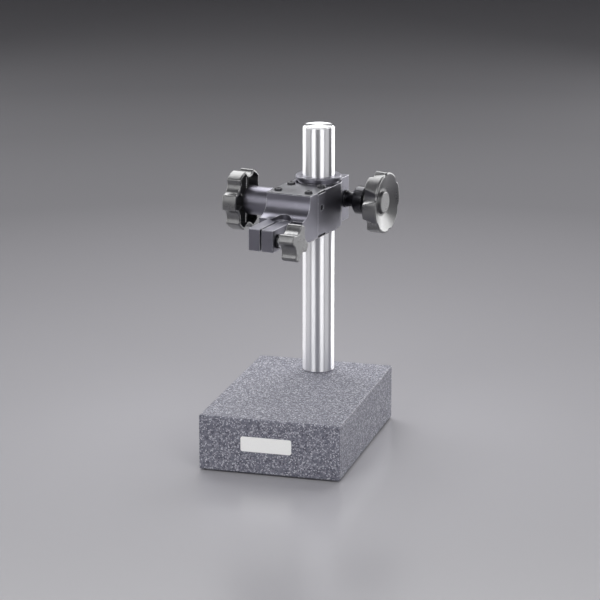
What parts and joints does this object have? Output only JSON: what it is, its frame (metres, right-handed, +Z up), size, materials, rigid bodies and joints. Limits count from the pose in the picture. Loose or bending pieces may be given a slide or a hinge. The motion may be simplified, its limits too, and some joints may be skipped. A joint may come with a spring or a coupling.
{
  "type": "comparator stand",
  "caption": "Bench comparator stand: granite base with an upright round post, a clamped arm with a split jaw for an indicator's stem, and a fine vertical feed turned by a side knob.",
  "frame": {"origin": "centre of the granite base's working surface", "axes": "+Z up along the post, +X to the right and +Y to the rear, where the post stands"},
  "size_m": [0.11, 0.1669, 0.22],
  "materials": {
    "black_alloy": "black anodised",
    "black_oxide": "blackened",
    "black_plastic": "fine grain",
    "brass": "plain",
    "bronze": "plain",
    "chrome": "hard chrome, ground",
    "granite": "ground and lapped, speckled grey",
    "label": "blank white",
    "rubber": "matt",
    "spring_steel": "blued",
    "steel": "plain"
  },
  "bodies": {
    "base": {"granite_base": "granite", "rubber_feet": "rubber", "label_plate": "label", "post": "chrome", "post_bolt": "steel", "post_washer": "steel"},
    "bush": {"post_bush": "black_alloy", "bush_ring": "black_oxide"},
    "arm": {"clamp_body": "black_alloy", "top_leaf": "spring_steel", "bottom_leaf": "spring_steel", "rear_leaf_screws": "black_oxide", "feed_bush": "bronze"},
    "holder": {"gauge_holder": "black_alloy", "front_leaf_screws": "black_oxide", "cam_fork": "steel"},
    "feed_drive": {"eccentric_shaft": "black_oxide", "feed_knob": "black_plastic", "feed_knob_insert": "brass", "feed_collar": "black_alloy", "feed_grub_screw": "black_oxide", "shaft_clip": "spring_steel", "feed_washer": "black_oxide"},
    "clamp_drive": {"clamp_stud": "black_oxide", "clamp_knob": "black_plastic", "clamp_knob_insert": "brass", "clamp_hub": "black_oxide", "clamp_washer": "black_oxide"},
    "jaw_drive": {"jaw_screw": "steel", "jaw_knob": "black_plastic", "jaw_washer": "black_oxide"}
  },
  "joints": [
    {"name": "height_slide", "type": "slide", "parent": "base", "child": "bush", "axis": [0, 0, 1], "range_m": [-0.095, 0.03]},
    {"name": "arm_swivel", "type": "hinge", "parent": "bush", "child": "arm", "pos_m": [0, 0.054, 0.1235], "axis": [0, 0, 1], "continuous": true},
    {"name": "feed_turn", "type": "hinge", "parent": "arm", "child": "feed_drive", "pos_m": [-0.00521, 0.02446, 0.1278], "axis": [0.9848, -0.1736, 0], "range_deg": [-45, 45]},
    {"name": "feed_slide", "type": "slide", "parent": "arm", "child": "holder", "axis": [0, 0, 1], "range_m": [-0.0005, 0.0005], "deforming": ["top_leaf", "bottom_leaf"]},
    {"name": "clamp_turn", "type": "hinge", "parent": "arm", "child": "clamp_drive", "pos_m": [0.00382, 0.07567, 0.123], "axis": [0.9848, -0.1736, 0], "range_deg": [0, 180]},
    {"name": "jaw_turn", "type": "hinge", "parent": "holder", "child": "jaw_drive", "pos_m": [-0.01473, -0.02951, 0.115], "axis": [0.9848, -0.1736, 0], "range_deg": [0, 180]}
  ],
  "couplings": [
    {"joint": "feed_turn", "follows": "feed_slide", "rad_per_m": 1560}
  ]
}
